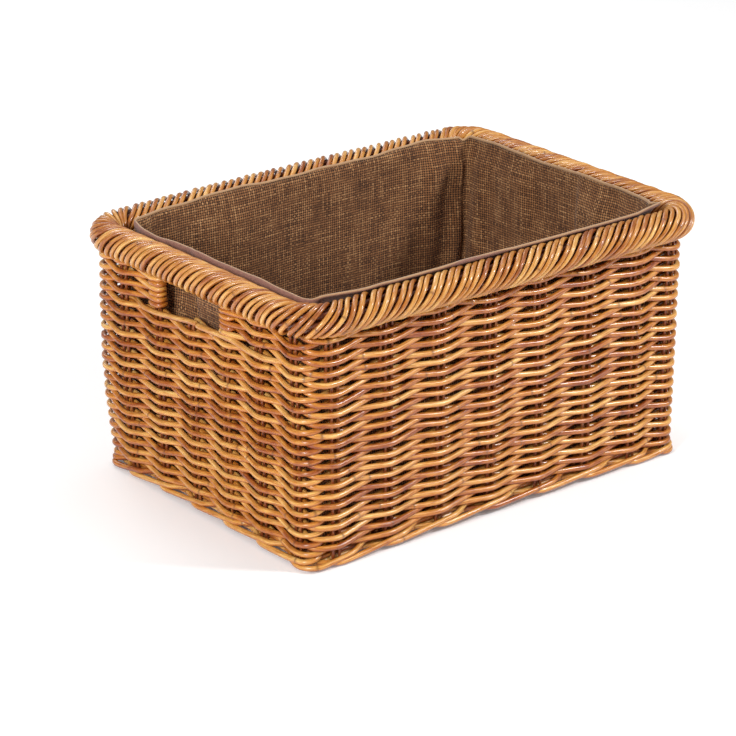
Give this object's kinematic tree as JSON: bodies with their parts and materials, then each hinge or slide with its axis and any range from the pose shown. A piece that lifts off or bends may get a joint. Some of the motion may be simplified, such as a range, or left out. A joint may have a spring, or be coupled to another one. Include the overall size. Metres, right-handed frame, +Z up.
{
  "type": "wicker log basket",
  "caption": "Rectangular woven rattan log basket with a hand hole in each short end, a rolled rope border and a lift-out hessian liner.",
  "frame": {"origin": "middle of the basket's footprint, on the surface it stands on", "axes": "+X along the long side, +Y across the basket, +Z up"},
  "size_m": [0.5314, 0.3964, 0.279],
  "materials": {
    "weaver_cane": "peeled rattan cane, honey to amber, clear gloss lacquer",
    "stake_cane": "peeled rattan cane, darker amber, satin lacquer",
    "border_cane": "peeled rattan cane, pale honey, clear gloss lacquer",
    "hessian": "plain-woven jute hessian, brown, matte",
    "binding": "woven cotton binding, dusty mauve brown, matte",
    "thread": "cotton sewing thread, pale beige, matte"
  },
  "bodies": {
    "basket": {"base_sticks": "stake_cane", "base_weave": "weaver_cane", "foot_wale": "weaver_cane", "front_stakes": "stake_cane", "back_stakes": "stake_cane", "left_stakes": "stake_cane", "right_stakes": "stake_cane", "corner_stakes": "stake_cane", "left_cut_stakes": "stake_cane", "right_cut_stakes": "stake_cane", "front_bye_stakes": "stake_cane", "back_bye_stakes": "stake_cane", "front_siding": "weaver_cane", "back_siding": "weaver_cane", "left_siding": "weaver_cane", "right_siding": "weaver_cane", "left_back_pillar": "weaver_cane", "left_front_pillar": "weaver_cane", "right_back_pillar": "weaver_cane", "right_front_pillar": "weaver_cane", "left_sill_canes": "border_cane", "right_sill_canes": "border_cane", "border_core": "stake_cane", "border_front": "border_cane", "border_back": "border_cane", "border_left": "border_cane", "border_right": "border_cane"},
    "liner": {"liner_front": "hessian", "liner_back": "hessian", "liner_left": "hessian", "liner_right": "hessian", "liner_floor": "hessian", "liner_binding": "binding", "binding_stitching": "thread"}
  },
  "joints": [
    {"name": "liner_lift", "type": "slide", "parent": "basket", "child": "liner", "axis": [0, 0, 1], "range_m": [0, 0.3]}
  ]
}
